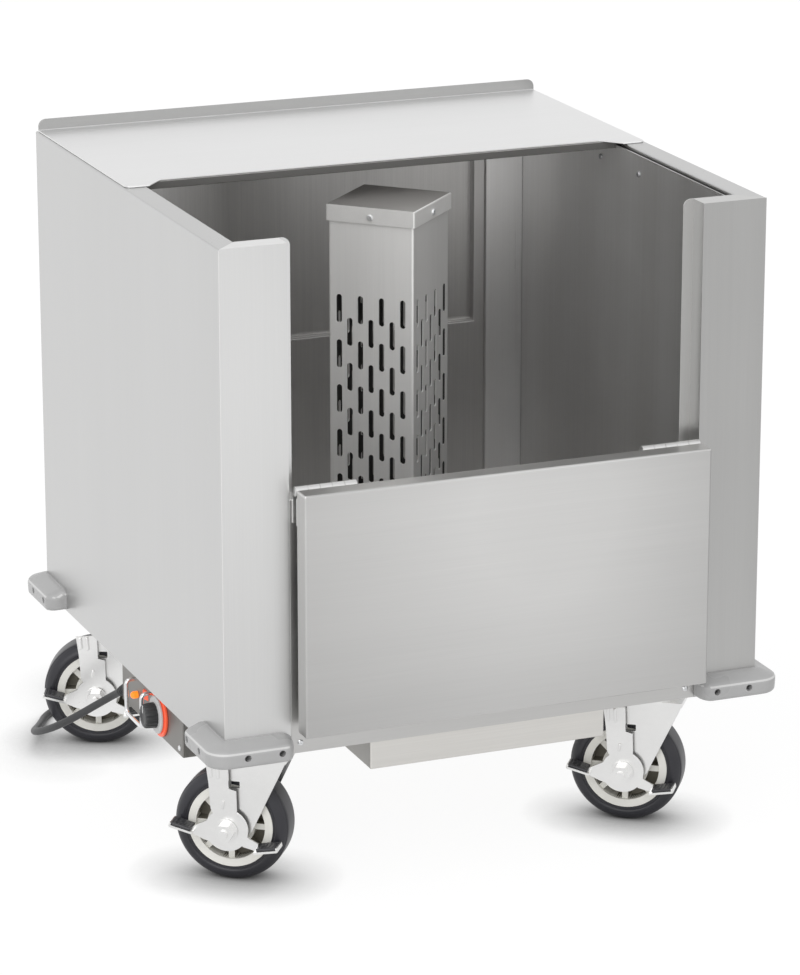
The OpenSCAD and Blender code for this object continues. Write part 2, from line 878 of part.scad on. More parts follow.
// Top plate with the riveted king pin, four of them
module caster_plates() {
  color("silver") for (i = [0:3])
    translate([side[i] * caster_x, body_shift + back[i] * caster_y, floor_gap]) union() {
      difference() {
        translate([-plate_x / 2, -plate_y / 2, -plate_thick]) cube([plate_x, plate_y, plate_thick]);
        bolt_places() translate([0, 0, -plate_thick - 1])
          cylinder(r = bolt_radius + screw_gap, h = plate_thick + 2);
      }
      translate([0, 0, crown_top - crown_thick - part_gap - floor_gap])
        cylinder(r = king_radius, h = floor_gap - crown_top + crown_thick + part_gap);
      translate([0, 0, crown_top - crown_thick - part_gap - floor_gap - 4])
        cylinder(r = 9, h = 4);
    }
}

module caster_bolts() {
  color("silver") for (i = [0:3])
    translate([side[i] * caster_x, body_shift + back[i] * caster_y, floor_gap]) bolt_places() {
      translate([0, 0, -plate_thick - 5]) cylinder(r = 7.5, h = 5, $fn = 6);
      translate([0, 0, -plate_thick]) cylinder(r = bolt_radius, h = plate_thick + sheet + 9);
      translate([0, 0, sheet]) difference() {
        cylinder(r = 7.5, h = 6.5, $fn = 6);
        translate([0, 0, -1]) cylinder(r = bolt_radius, h = 9);
      }
    }
}

// Outline of a fork leg in x and z, from the crown down to a boss at the axle
module leg_outline() {
  crown = crown_top - crown_thick / 2;
  union() {
    polygon([
      [trail - 66, crown], [trail - 4, crown], [trail + 14, wheel_radius + 3],
      [trail, wheel_radius - 14], [trail - 22, wheel_radius - 7],
      [trail - 27, wheel_radius - 2]]);
    translate([trail, wheel_radius]) circle(14);
  }
}

// Fork with its ball race, and the axle bolt with its bush, washer and nut
module fork(i) {
  nut = 19 / cos(30) / 2;
  brake_out = brake_in + brake_thick + part_gap;
  color("gainsboro") at_caster(i) {
    difference() {
      union() {
        for (y = [-leg_in - leg_thick, leg_in])
          translate([0, y + leg_thick, 0]) rotate([90, 0, 0])
            linear_extrude(leg_thick) leg_outline();
        translate([trail - 66, -leg_in - leg_thick, crown_top - crown_thick])
          cube([62, 2 * (leg_in + leg_thick), crown_thick]);
        translate([0, 0, crown_top - crown_thick])
          cylinder(r = race_radius, h = floor_gap - plate_thick - part_gap - crown_top + crown_thick);
      }
      cylinder(r = king_radius + pin_gap, h = floor_gap);
      translate([trail, 60, wheel_radius]) rotate([90, 0, 0]) cylinder(r = axle_radius, h = 120);
    }
    translate([trail, 0, wheel_radius]) rotate([-90, 0, 0]) union() {
      translate([0, 0, -leg_in - leg_thick]) cylinder(r = axle_radius, h = brake_out + 44);
      translate([0, 0, -leg_in - leg_thick - 6]) cylinder(r = nut, h = 6, $fn = 6);
      translate([0, 0, leg_in + leg_thick]) cylinder(r = 9, h = brake_in - part_gap - leg_in - leg_thick);
      translate([0, 0, brake_out]) cylinder(r = 13, h = 2);
      translate([0, 0, brake_out + 2]) cylinder(r = nut, h = 11, $fn = 6);
    }
  }
}

module wheel_core(i) {
  hub_half = leg_in - part_gap;
  rim_half = tyre_width / 2 - 2;
  color("wheat") at_axle(i) rotate([90, 0, 0]) difference() {
    union() {
      translate([0, 0, -hub_half]) cylinder(r = 13, h = 2 * hub_half);
      translate([0, 0, -rim_half]) difference() {
        cylinder(r = core_radius, h = 2 * rim_half);
        translate([0, 0, -1]) cylinder(r = core_radius - 9, h = 2 * rim_half + 2);
      }
      translate([0, 0, -2]) cylinder(r = core_radius - 8, h = 4);
      translate([0, 0, -rim_half + 2]) cylinder(r = 27, h = 2 * rim_half - 4);
      for (k = [0:7])
        rotate([0, 0, 45 * k]) translate([20, -3.5, -rim_half + 4])
          cube([core_radius - 28, 7, 2 * rim_half - 8]);
    }
    translate([0, 0, -hub_half - 1]) cylinder(r = axle_radius + pin_gap, h = 2 * hub_half + 2);
  }
}

// Solid tyre with soft round shoulders
module tyre(i) {
  half = tyre_width / 2;
  soft = 12;
  color("dimgray") at_axle(i) rotate([90, 0, 0]) rotate_extrude($fn = 96) polygon(concat(
    [[core_radius, -half], [wheel_radius - soft, -half]],
    [for (a = [-75:15:0]) [wheel_radius - soft + soft * cos(a), -half + soft + soft * sin(a)]],
    [for (a = [0:15:75]) [wheel_radius - soft + soft * cos(a), half - soft + soft * sin(a)]],
    [[wheel_radius - soft, half], [core_radius, half]]));
}

// Stamped brake plate on the axle, with a tab above and a foot pedal on each side
module brake_outline() {
  union() {
    circle(disc_radius);
    polygon([[11, 10], [18, 24], [20, 53], [23, 76], [-2, 78], [-3, 49], [-11, 47], [-12, 16]]);
    polygon([[14, 14], [39, 1], [40, -7], [26, -13], [8, -18]]);
    polygon([[-14, 2], [-26, -8], [-36, -13], [-35, -22], [-18, -18]]);
  }
}

module brake(i) {
  pedal_in = brake_in - 9;
  pedal_deep = 22;
  color("gainsboro") at_axle(i) difference() {
    union() {
      translate([0, brake_in + brake_thick, 0]) rotate([90, 0, 0])
        linear_extrude(brake_thick) brake_outline();
      translate([37, pedal_in, -4.5]) rotate([0, -14, 0]) cube([27, pedal_deep, brake_thick]);
      translate([-33, pedal_in, -19.5]) rotate([0, 190, 0]) cube([27, pedal_deep, brake_thick]);
    }
    translate([0, 60, 0]) rotate([90, 0, 0]) cylinder(r = axle_radius + pin_gap, h = 60);
  }
}

module fork_front_left() {
  fork(0);
}

module fork_front_right() {
  fork(1);
}

module fork_rear_left() {
  fork(2);
}

module fork_rear_right() {
  fork(3);
}

module wheel_core_front_left() {
  wheel_core(0);
}

module wheel_core_front_right() {
  wheel_core(1);
}

module wheel_core_rear_left() {
  wheel_core(2);
}

module wheel_core_rear_right() {
  wheel_core(3);
}

module tyre_front_left() {
  tyre(0);
}

module tyre_front_right() {
  tyre(1);
}

module tyre_rear_left() {
  tyre(2);
}

module tyre_rear_right() {
  tyre(3);
}

module brake_front_left() {
  brake(0);
}

module brake_front_right() {
  brake(1);
}

module brake_rear_left() {
  brake(2);
}

module brake_rear_right() {
  brake(3);
}

left_side_panel();
right_side_panel();
left_front_post();
right_front_post();
back_panel();
left_liner();
right_liner();
back_liner();
well_floor_plate();
rear_deck();
front_panel();
front_liner();
base_pan();
wall_insulation();
air_column();
column_cap();
column_screws();
heater_box();
heating_element();
blower_motor();
blower_wheel();
control_box();
thermostat_bezel();
thermostat_dial();
pilot_lamp();
rocker_switch();
control_internals();
control_guard();
strain_relief();
cord();
cord_coil();
plug();
corner_bumpers();
body_screws();
hinge_fixed_leaves();
hinge_moving_leaves();
flap_shell();
flap_inner_panel();
flap_core();
lid();
caster_plates();
caster_bolts();
fork_front_left();
fork_front_right();
fork_rear_left();
fork_rear_right();
wheel_core_front_left();
wheel_core_front_right();
wheel_core_rear_left();
wheel_core_rear_right();
tyre_front_left();
tyre_front_right();
tyre_rear_left();
tyre_rear_right();
brake_front_left();
brake_front_right();
brake_rear_left();
brake_rear_right();
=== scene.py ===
import json
import math

import bmesh
import bpy
from mathutils import Matrix, Vector


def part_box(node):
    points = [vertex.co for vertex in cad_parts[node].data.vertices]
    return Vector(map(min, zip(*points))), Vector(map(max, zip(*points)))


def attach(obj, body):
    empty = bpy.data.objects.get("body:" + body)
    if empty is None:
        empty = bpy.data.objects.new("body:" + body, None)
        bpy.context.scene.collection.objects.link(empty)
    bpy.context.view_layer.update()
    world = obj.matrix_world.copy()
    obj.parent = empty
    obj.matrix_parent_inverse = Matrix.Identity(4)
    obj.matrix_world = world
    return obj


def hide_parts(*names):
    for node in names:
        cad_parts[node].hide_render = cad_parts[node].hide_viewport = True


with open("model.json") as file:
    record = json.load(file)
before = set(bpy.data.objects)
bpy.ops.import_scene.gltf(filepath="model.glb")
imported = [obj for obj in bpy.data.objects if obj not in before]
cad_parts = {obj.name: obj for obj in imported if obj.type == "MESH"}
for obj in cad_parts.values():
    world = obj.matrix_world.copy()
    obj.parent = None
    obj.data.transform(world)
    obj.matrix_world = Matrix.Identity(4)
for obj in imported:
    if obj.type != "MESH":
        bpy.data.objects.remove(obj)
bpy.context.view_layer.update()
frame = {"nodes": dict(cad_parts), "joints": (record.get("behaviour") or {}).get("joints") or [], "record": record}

# The view and the studio: a long lens from the cart's front left, a little above its top,
# over one pale floor that fills the frame. The floor is white where it is seen or mirrored, but in
# mirrors it is painted greyer towards the right front as a painted reflection. Its glow is painted
# darker close under the wheels as painted shade, beside the real shadow it keeps.
camera_data = bpy.data.cameras.new("camera")
camera_data.lens = 155.9
camera_data.sensor_width = 36.0
camera_data.clip_end = 60.0
camera = bpy.data.objects.new("camera", camera_data)
bpy.context.collection.objects.link(camera)
camera.location = (-1.749, -4.3225, 1.780)
view_direction = Vector((0.3607, 0.8860, -0.2915))
camera.rotation_euler = view_direction.to_track_quat("-Z", "Y").to_euler()
bpy.context.scene.camera = camera
bpy.context.scene.view_settings.view_transform = "Standard"


def new_material(name):
    """An empty node material with its shader and output joined."""
    material = bpy.data.materials.new(name)
    material.use_nodes = True
    nodes = material.node_tree.nodes
    nodes.clear()
    shader = nodes.new("ShaderNodeBsdfPrincipled")
    output = nodes.new("ShaderNodeOutputMaterial")
    material.node_tree.links.new(shader.outputs["BSDF"], output.inputs["Surface"])
    return material, nodes, material.node_tree.links, shader


floor_reach = 30.0
floor_mesh = bpy.data.meshes.new("floor")
floor_mesh.from_pydata([(x * floor_reach, y * floor_reach, 0) for x, y in
                        ((-1, -1), (1, -1), (1, 1), (-1, 1))], [], [(0, 1, 2, 3)])
floor = bpy.data.objects.new("floor", floor_mesh)
bpy.context.collection.objects.link(floor)
floor_paint, nodes, links, shader = new_material("floor_paint")
floor_paint.cycles.emission_sampling = "NONE"
shader.inputs["Roughness"].default_value = 0.9
shader.inputs["Specular IOR Level"].default_value = 0.0


def worked_out(nodes, links, operation, first, second, clamp=False):
    """One sum of two values, each a number or the output of a node."""
    step = nodes.new("ShaderNodeMath")
    step.operation = operation
    step.use_clamp = clamp
    for socket, value in zip(step.inputs, (first, second)):
        if isinstance(value, float):
            socket.default_value = value
        else:
            links.new(value, socket)
    return step.outputs["Value"]


def ramp(nodes, links, source, stops):
    """A grey ramp over a value between 0 and 1, with (place, tone) stops."""
    scale = nodes.new("ShaderNodeValToRGB")
    points = scale.color_ramp.elements
    while len(points) < len(stops):
        points.new(0.5)
    for point, (place, tone) in zip(points, stops):
        point.position = place
        point.color = (tone, tone, tone, 1)
    links.new(source, scale.inputs["Fac"])
    return scale.outputs["Color"]


rays = nodes.new("ShaderNodeLightPath")
seen = worked_out(nodes, links, "ADD", rays.outputs["Is Camera Ray"],
                  rays.outputs["Is Glossy Ray"])
seen = worked_out(nodes, links, "ADD", seen, rays.outputs["Is Transmission Ray"], True)
tint = nodes.new("ShaderNodeMix")
tint.data_type = "RGBA"
tint.inputs["A"].default_value = (0.80, 0.80, 0.80, 1)
tint.inputs["B"].default_value = (0.12, 0.12, 0.12, 1)
links.new(seen, tint.inputs["Factor"])
# Painted shade: where parts stand close above the floor, its glow is painted darker.
shade = nodes.new("ShaderNodeAmbientOcclusion")
shade.inputs["Distance"].default_value = 0.075
shade.samples = 12
links.new(tint.outputs["Result"], shade.inputs["Color"])
links.new(shade.outputs["Color"], shader.inputs["Base Color"])
place = nodes.new("ShaderNodeTexCoord")
split = nodes.new("ShaderNodeSeparateXYZ")
links.new(place.outputs["Object"], split.inputs["Vector"])
ramp_span = 4.0
ramp_left = 1.0
ramp_front = 3.0
tones_across = [(0.40, 1.0), (0.56, 0.60)]
tones_along = [(0.12, 1.0), (0.35, 0.80), (0.52, 0.68), (0.70, 0.76), (0.85, 1.0)]
floor_glow = 0.90
shade_depth = 1.4
across = worked_out(nodes, links, "MULTIPLY", worked_out(
    nodes, links, "ADD", split.outputs["X"], ramp_left), 1 / ramp_span)
along = worked_out(nodes, links, "MULTIPLY", worked_out(
    nodes, links, "ADD", split.outputs["Y"], ramp_front), 1 / ramp_span)
mirrored = worked_out(nodes, links, "MULTIPLY", ramp(nodes, links, across, tones_across),
                      ramp(nodes, links, along, tones_along))
# Painted reflection: for mirror rays the floor's glow is lowered towards the right front, so the metal mirrors a
# greyer floor there.
painted_grey = worked_out(nodes, links, "MULTIPLY", rays.outputs["Is Glossy Ray"],
                  worked_out(nodes, links, "SUBTRACT", 1.0, mirrored))
glow = worked_out(nodes, links, "MULTIPLY", seen, worked_out(
    nodes, links, "SUBTRACT", floor_glow, painted_grey))
glow = worked_out(nodes, links, "MULTIPLY", glow, worked_out(
    nodes, links, "POWER", shade.outputs["AO"], shade_depth), True)
shader.inputs["Emission Color"].default_value = (1, 1, 1, 1)
links.new(glow, shader.inputs["Emission Strength"])
floor_mesh.materials.append(floor_paint)

world = bpy.data.worlds.new("studio")
bpy.context.scene.world = world
world.use_nodes = True
sky = world.node_tree.nodes["Background"]
sky_links = world.node_tree.links
sky_tones = [(0.0, 0.96), (0.35, 0.94), (0.95, 0.62)]
place = world.node_tree.nodes.new("ShaderNodeTexCoord")
split = world.node_tree.nodes.new("ShaderNodeSeparateXYZ")
sky_links.new(place.outputs["Generated"], split.inputs["Vector"])
sky_links.new(ramp(world.node_tree.nodes, sky_links, split.outputs["Z"], sky_tones),
              sky.inputs["Color"])
sky.inputs["Strength"].default_value = 1.0

sun_data = bpy.data.lights.new("key", "SUN")
sun_data.energy = 0.85
sun_data.angle = math.radians(50)
sun = bpy.data.objects.new("key", sun_data)
sun_direction = Vector((0.30, 0.42, -0.86))
sun.rotation_euler = sun_direction.to_track_quat("-Z", "Y").to_euler()
bpy.context.collection.objects.link(sun)
fill_data = bpy.data.lights.new("fill", "AREA")
fill_data.shape = "RECTANGLE"
fill_data.size = 2.0
fill_data.size_y = 0.9
fill_data.energy = 13.0
fill = bpy.data.objects.new("fill", fill_data)
fill.location = (-2.6, -2.6, 0.75)
fill_direction = Vector((2.4, 2.3, -0.45))
fill.rotation_euler = fill_direction.to_track_quat("-Z", "Y").to_euler()
fill.visible_camera = False
bpy.context.collection.objects.link(fill)


# Cord: a black rubber-jacketed mains lead, 9 mm thick. It leaves the control box through its
# moulded sleeve, drops to the floor outside the rear left caster and ends in a neat coil
# behind the cart.
MM = 0.001
cord_route = [
    (-291.7, 127.25, 106.5), (-295.9, 138.4, 99.2), (-303, 147.5, 91.5), (-313, 154.5, 83.5),
    (-324, 161.5, 75), (-335.5, 169.5, 66), (-346, 180, 57), (-354, 192.5, 48.5),
    (-359.5, 207, 41), (-362.5, 222, 34.5), (-362.5, 237, 29), (-360, 252, 24), (-355, 267, 19.5),
    (-348.5, 282, 15.5), (-341.5, 297, 12), (-334.5, 312, 9), (-327, 328, 6.4), (-318, 345, 4.8),
    (-305, 360, 4.5), (-288, 371.5, 4.5), (-268, 378, 4.5), (-250, 379.8, 4.5), (-237, 380, 4.5)]
cord_tail = [
    (-174, 380, 22.5), (-158, 380.5, 22.5), (-140, 382, 19.5), (-122, 385, 14.5),
    (-104, 389, 11.5), (-88, 393, 11)]
cord_thick = 9.0
coil_centre = (-205, 432)
coil_turns = [(52.5, 4.5), (43.5, 4.5), (43.5, 13.5), (52.5, 13.5), (43.5, 22.5), (52.5, 22.5)]
steps_a_turn = 24


def eased(share):
    """A share from 0 to 1 that starts and stops gently."""
    share = min(1.0, max(0.0, share))
    return share * share * (3 - 2 * share)


def coil_points():
    """The turns of the coil, each easing into the next over its first quarter."""
    points = []
    before = coil_turns[0]
    for radius, height in coil_turns:
        for step in range(steps_a_turn):
            ease = eased(step / (steps_a_turn / 4))
            r = before[0] + (radius - before[0]) * ease
            z = before[1] + (height - before[1]) * ease
            angle = math.radians(-90 + 360 * step / steps_a_turn)
            points.append((coil_centre[0] + r * math.cos(angle),
                           coil_centre[1] + r * math.sin(angle), z))
        before = (radius, height)
    points.append((coil_centre[0], coil_centre[1] - before[0], before[1]))
    return points


def smooth_curve(name, points, radius, steps=8):
    """A round bar or lead along points given in millimetres."""
    data = bpy.data.curves.new(name, "CURVE")
    data.dimensions = "3D"
    data.bevel_depth = radius * MM
    data.bevel_resolution = 5
    data.resolution_u = steps
    data.use_fill_caps = True
    spline = data.splines.new("BEZIER")
    spline.bezier_points.add(len(points) - 1)
    for knot, point in zip(spline.bezier_points, points):
        knot.co = Vector(point) * MM
        knot.handle_left_type = "AUTO"
        knot.handle_right_type = "AUTO"
    curve = bpy.data.objects.new(name, data)
    bpy.context.collection.objects.link(curve)
    return curve


def grained(name, colour, rough, spread, size, bump, glow=0.0):
    """Moulded rubber or plastic: fine grain in the surface and a slow drift in its tone."""
    material, nodes, links, shader = new_material(name)
    place = nodes.new("ShaderNodeTexCoord")
    slow = nodes.new("ShaderNodeTexNoise")
    slow.inputs["Scale"].default_value = 14.0
    slow.inputs["Detail"].default_value = 3.0
    links.new(place.outputs["Object"], slow.inputs["Vector"])
    tone = nodes.new("ShaderNodeValToRGB")
    low = [max(0.0, c * (1 - spread)) for c in colour]
    high = [min(1.0, c * (1 + spread)) for c in colour]
    tone.color_ramp.elements[0].position = 0.3
    tone.color_ramp.elements[1].position = 0.7
    tone.color_ramp.elements[0].color = (*low, 1)
    tone.color_ramp.elements[1].color = (*high, 1)
    links.new(slow.outputs["Fac"], tone.inputs["Fac"])
    links.new(tone.outputs["Color"], shader.inputs["Base Color"])
    fine = nodes.new("ShaderNodeTexNoise")
    fine.inputs["Scale"].default_value = size
    fine.inputs["Detail"].default_value = 2.0
    links.new(place.outputs["Object"], fine.inputs["Vector"])
    dip = nodes.new("ShaderNodeBump")
    dip.inputs["Strength"].default_value = bump
    dip.inputs["Distance"].default_value = 0.001
    links.new(fine.outputs["Fac"], dip.inputs["Height"])
    links.new(dip.outputs["Normal"], shader.inputs["Normal"])
    gloss = nodes.new("ShaderNodeMapRange")
    gloss.inputs["To Min"].default_value = rough * 0.85
    gloss.inputs["To Max"].default_value = min(1.0, rough * 1.15)
    links.new(slow.outputs["Fac"], gloss.inputs["Value"])
    links.new(gloss.outputs["Result"], shader.inputs["Roughness"])
    if glow:
        shader.inputs["Emission Color"].default_value = (*colour, 1)
        shader.inputs["Emission Strength"].default_value = glow
    return material


cord_jacket = grained("cord_jacket", (0.052, 0.053, 0.055), 0.46, 0.12, 500.0, 0.06)
cord_line = cord_route + coil_points() + cord_tail
mains_lead = smooth_curve("mains_lead", cord_line, cord_thick / 2)
mains_lead.data.materials.append(cord_jacket)
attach(mains_lead, "root")
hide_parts("cord", "cord_coil")


# Plug: a moulded three-pin plug in black plastic, its edges softened as it left the mould. It
# lies on the floor beside the coil, at the far end of the lead.
def flatten(piece):
    """Broad faces keep their own flat shading, and the roundings blend into them."""
    step = piece.modifiers.new("shading", "WEIGHTED_NORMAL")
    step.keep_sharp = True
    step.weight = 50


def smoothed(name, mesh, work):
    """A piece from a finished mesh, smooth between its creases."""
    crease = math.radians(50)
    for face in work.faces:
        face.smooth = True
    work.to_mesh(mesh)
    work.free()
    mesh.set_sharp_from_angle(angle=crease)
    piece = bpy.data.objects.new(name, mesh)
    bpy.context.collection.objects.link(piece)
    flatten(piece)
    return piece


def matched_copy(node, name, round_mm, steps, body, fold_mm=0.0):
    """A piece with the outline of its CAD node: flat faces merged, bends folded to fold_mm
    where two broad faces meet outwards, and all other edges rounded by round_mm."""
    same_point = 0.00002
    nearly_flat = math.radians(0.6)
    sharp = math.radians(28)
    broad_area = 0.0012
    fold_steps = 4
    mesh = frame["nodes"][node].data.copy()
    mesh.materials.clear()
    work = bmesh.new()
    work.from_mesh(mesh)
    bmesh.ops.remove_doubles(work, verts=work.verts, dist=same_point)
    bmesh.ops.dissolve_limit(work, angle_limit=nearly_flat, verts=work.verts,
                             edges=work.edges)
    bmesh.ops.recalc_face_normals(work, faces=work.faces)
    passes = [(round_mm, steps, False)]
    if fold_mm:
        passes.insert(0, (fold_mm, fold_steps, True))
    for radius, segments, folds in passes:
        edges = []
        for edge in work.edges:
            if len(edge.link_faces) != 2 or edge.calc_face_angle(0) < sharp:
                continue
            if folds and (edge.calc_face_angle_signed(0) < 0
                          or min(f.calc_area() for f in edge.link_faces) < broad_area):
                continue
            edges.append(edge)
        bmesh.ops.bevel(work, geom=edges, offset=radius * MM, offset_type="OFFSET",
                        segments=segments, profile=0.5, affect="EDGES", clamp_overlap=True)
    piece = smoothed(name, mesh, work)
    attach(piece, body)
    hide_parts(node)
    return piece


black_mould = grained("black_mould", (0.030, 0.031, 0.033), 0.38, 0.10, 260.0, 0.10)
plug = matched_copy("plug", "plug_moulded", 1.4, 3, "root")
plug.data.materials.append(black_mould)


# Sleeve: the strain relief, moulded in black plastic, a ribbed taper that grips the cord where
# it leaves the box. It comes straight out of the wall through its collar and leans out and
# down.
def turned(name, profile, centre, axis, around=48, close=False):
    """A turned piece: the profile gives (along the axis, radius) pairs in millimetres."""
    same_point = 0.000005
    crease = math.radians(38)
    turn = Vector((0, 0, 1)).rotation_difference(Vector(axis)).to_matrix().to_4x4()
    mesh = bpy.data.meshes.new(name)
    verts = []
    faces = []
    count = len(profile)
    for k in range(around):
        angle = 2 * math.pi * k / around
        for along, radius in profile:
            verts.append(Vector((radius * math.cos(angle), radius * math.sin(angle), along)) * MM)
    for k in range(around):
        a = k * count
        b = (k + 1) % around * count
        for i in range(count - (0 if close else 1)):
            j = (i + 1) % count
            faces.append((a + i, b + i, b + j, a + j))
    mesh.from_pydata(verts, [], faces)
    work = bmesh.new()
    work.from_mesh(mesh)
    bmesh.ops.remove_doubles(work, verts=work.verts, dist=same_point)
    bmesh.ops.recalc_face_normals(work, faces=work.faces)
    for face in work.faces:
        face.smooth = True
    work.to_mesh(mesh)
    work.free()
    mesh.transform(Matrix.Translation(Vector(centre) * MM) @ turn)
    mesh.set_sharp_from_angle(angle=crease)
    piece = bpy.data.objects.new(name, mesh)
    bpy.context.collection.objects.link(piece)
    return piece


sleeve_wall = Vector((-285, 100.5, 118))
sleeve_lean = Vector((-0.3, 0.8, -0.52)).normalized()
sleeve_bend = 9
bend_start = 3
bend_length = 12
sleeve_ribs = 6
rib_start = 6
rib_pitch = 4.0
rib_radius = 8.2
rib_taper = 0.42
sleeve_profile = [(-6.5, 0.2), (-6.5, 10), (-1.5, 10), (-1.5, 7), (0, 7), (0, 10), (3.2, 10),
                  (4, 9.2), (4.6, 8.4)]
for rib in range(sleeve_ribs):
    start = rib_start + rib * rib_pitch
    radius = rib_radius - rib * rib_taper
    sleeve_profile += [(start, radius), (start + 1.7, radius - 0.1), (start + 2.1, radius - 1.3),
                       (start + 3.4, radius - 1.4)]
sleeve_profile += [(30.8, 5.4), (30.8, 0.2)]
sleeve = turned("cord_sleeve", sleeve_profile, (0, 0, 0), (0, 0, 1))
for vertex in sleeve.data.vertices:
    out = vertex.co.z / MM
    ease = eased((out - bend_start) / bend_length)
    heading = Vector((0, 1, 0)).lerp(sleeve_lean, ease).normalized()
    middle = (sleeve_wall + Vector((0, out, 0))).lerp(
        sleeve_wall + Vector((0, sleeve_bend, 0)) + sleeve_lean * (out - sleeve_bend), ease)
    side = heading.cross(Vector((0, 0, 1))).normalized()
    vertex.co = middle * MM + side * vertex.co.x + heading.cross(side) * vertex.co.y
sleeve.data.materials.append(black_mould)
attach(sleeve, "root")
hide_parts("strain_relief")


# Base pan and heater box: plain mill-finish sheet, folded and spot welded under the body, a
# little warmer and duller than the polished panels. The box's left side is painted darker, as painted shade.
def brushed(name, colour, rough, grain, spread, bump=0.04, metal=1.0, painted_highlight=None):
    """Brushed metal. Its scratches, streaks and slow bands run along the axis grain names.
    The last argument gives a place, a reach and a tone for a painted highlight: the sheet is painted darker away
    from that place."""
    cloud_share = 0.4
    streak_share = 0.4
    fine_share = 0.38
    bright_until = 0.25
    material, nodes, links, shader = new_material(name)
    place = nodes.new("ShaderNodeTexCoord")

    def drawn_noise(across, along, detail):
        stretch = nodes.new("ShaderNodeMapping")
        stretch.inputs["Scale"].default_value = [along if axis == grain else across
                                                 for axis in "xyz"]
        links.new(place.outputs["Object"], stretch.inputs["Vector"])
        noise = nodes.new("ShaderNodeTexNoise")
        noise.inputs["Scale"].default_value = 1.0
        noise.inputs["Detail"].default_value = detail
        links.new(stretch.outputs["Vector"], noise.inputs["Vector"])
        return noise.outputs["Fac"]

    def blended(first, second, share):
        blend = nodes.new("ShaderNodeMix")
        blend.inputs["Factor"].default_value = share
        links.new(first, blend.inputs["A"])
        links.new(second, blend.inputs["B"])
        return blend.outputs["Result"]

    scratch = drawn_noise(1000, 9, 3)
    streak = drawn_noise(170, 2, 2)
    band = drawn_noise(13, 0.5, 1)
    cloud = drawn_noise(5, 4, 2)
    mottle = blended(blended(band, cloud, cloud_share), blended(scratch, streak, streak_share),
                     fine_share)
    tone = nodes.new("ShaderNodeValToRGB")
    tone.color_ramp.elements[0].position = 0.36
    tone.color_ramp.elements[1].position = 0.64
    tone.color_ramp.elements[0].color = (*[c * (1 - spread) for c in colour], 1)
    tone.color_ramp.elements[1].color = (*[min(1, c * (1 + spread)) for c in colour], 1)
    links.new(mottle, tone.inputs["Fac"])
    finish = tone.outputs["Color"]
    # Painted highlight: the tone is painted darker with the distance from the given place.
    if painted_highlight:
        centre, reach, far_tone = painted_highlight
        away = nodes.new("ShaderNodeVectorMath")
        away.operation = "DISTANCE"
        away.inputs[1].default_value = centre
        links.new(place.outputs["Object"], away.inputs[0])
        share = worked_out(nodes, links, "DIVIDE", away.outputs["Value"], reach, True)
        highlit = nodes.new("ShaderNodeMix")
        highlit.data_type = "RGBA"
        highlit.blend_type = "MULTIPLY"
        highlit.inputs["Factor"].default_value = 1.0
        links.new(finish, highlit.inputs["A"])
        links.new(ramp(nodes, links, share, [(bright_until, 1.0), (1.0, far_tone)]),
                  highlit.inputs["B"])
        finish = highlit.outputs["Result"]
    links.new(finish, shader.inputs["Base Color"])
    gloss = nodes.new("ShaderNodeMapRange")
    gloss.inputs["From Min"].default_value = 0.3
    gloss.inputs["From Max"].default_value = 0.7
    gloss.inputs["To Min"].default_value = rough * 0.85
    gloss.inputs["To Max"].default_value = rough * 1.2
    links.new(mottle, gloss.inputs["Value"])
    links.new(gloss.outputs["Result"], shader.inputs["Roughness"])
    slack = nodes.new("ShaderNodeBump")
    slack.inputs["Strength"].default_value = 0.25
    slack.inputs["Distance"].default_value = 0.004
    links.new(cloud, slack.inputs["Height"])
    dip = nodes.new("ShaderNodeBump")
    dip.inputs["Strength"].default_value = bump
    dip.inputs["Distance"].default_value = 0.0005
    links.new(scratch, dip.inputs["Height"])
    links.new(slack.outputs["Normal"], dip.inputs["Normal"])
    links.new(dip.outputs["Normal"], shader.inputs["Normal"])
    shader.inputs["Metallic"].default_value = metal
    return material


def dressed(node, material, round_mm, steps, fold_mm=0.0):
    """A sheet piece that rides with its node's own body."""
    body = next(b for b, members in frame["record"]["behaviour"]["bodies"].items()
                if node in members)
    piece = matched_copy(node, node + "_formed", round_mm, steps, body, fold_mm=fold_mm)
    piece.data.materials.append(material)
    return piece


def second_finish(piece, material, chosen):
    """Another finish on those faces of a piece that a test picks out."""
    piece.data.materials.append(material)
    for face in piece.data.polygons:
        if chosen(face):
            face.material_index = len(piece.data.materials) - 1


mill_steel = brushed("mill_steel", (0.80, 0.785, 0.755), 0.44, "x", 0.06, 0.06)
dressed("base_pan", mill_steel, 0.3, 1)
# Painted shade: a darker copy of the mill finish for the heater box's left-facing faces.
mill_painted_shade = brushed("mill_painted_shade", (0.50, 0.492, 0.475), 0.5, "z", 0.06, 0.06)
heater = dressed("heater_box", mill_steel, 0.5, 2, 2.2)
square_on = 0.9
second_finish(heater, mill_painted_shade, lambda face: face.normal.x < -square_on)

# Control box: a folded steel box under the left side, darker than the body, its lid held by
# pan-head screws.
zinc = brushed("zinc", (0.86, 0.87, 0.88), 0.36, "z", 0.05, 0.05)
box_steel = brushed("box_steel", (0.30, 0.292, 0.28), 0.48, "y", 0.08, 0.06)
dressed("control_box", box_steel, 0.5, 2, 1.8)


def pan_head(name, centre, outward, radius, body):
    """A small screw head: a low dome with a socket in it, standing 2 mm proud."""
    profile = [(-1.0, 0.1), (-1.0, radius * 0.5), (0, radius * 0.5), (0, radius),
               (0.7, radius), (1.5, radius * 0.8), (2.0, radius * 0.5), (2.0, radius * 0.34),
               (1.1, radius * 0.26), (1.1, 0.1)]
    head = turned(name, profile, centre, outward, 20)
    head.data.materials.append(zinc)
    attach(head, body)
    return head


box_side = -297.5
head_radius = 3.4
for label, y, z in (("front", -101, 115.5), ("front_top", -101, 163), ("rear", 91, 163)):
    pan_head("box_screw_" + label, (box_side, y, z), (-1, 0, 0), head_radius, "root")

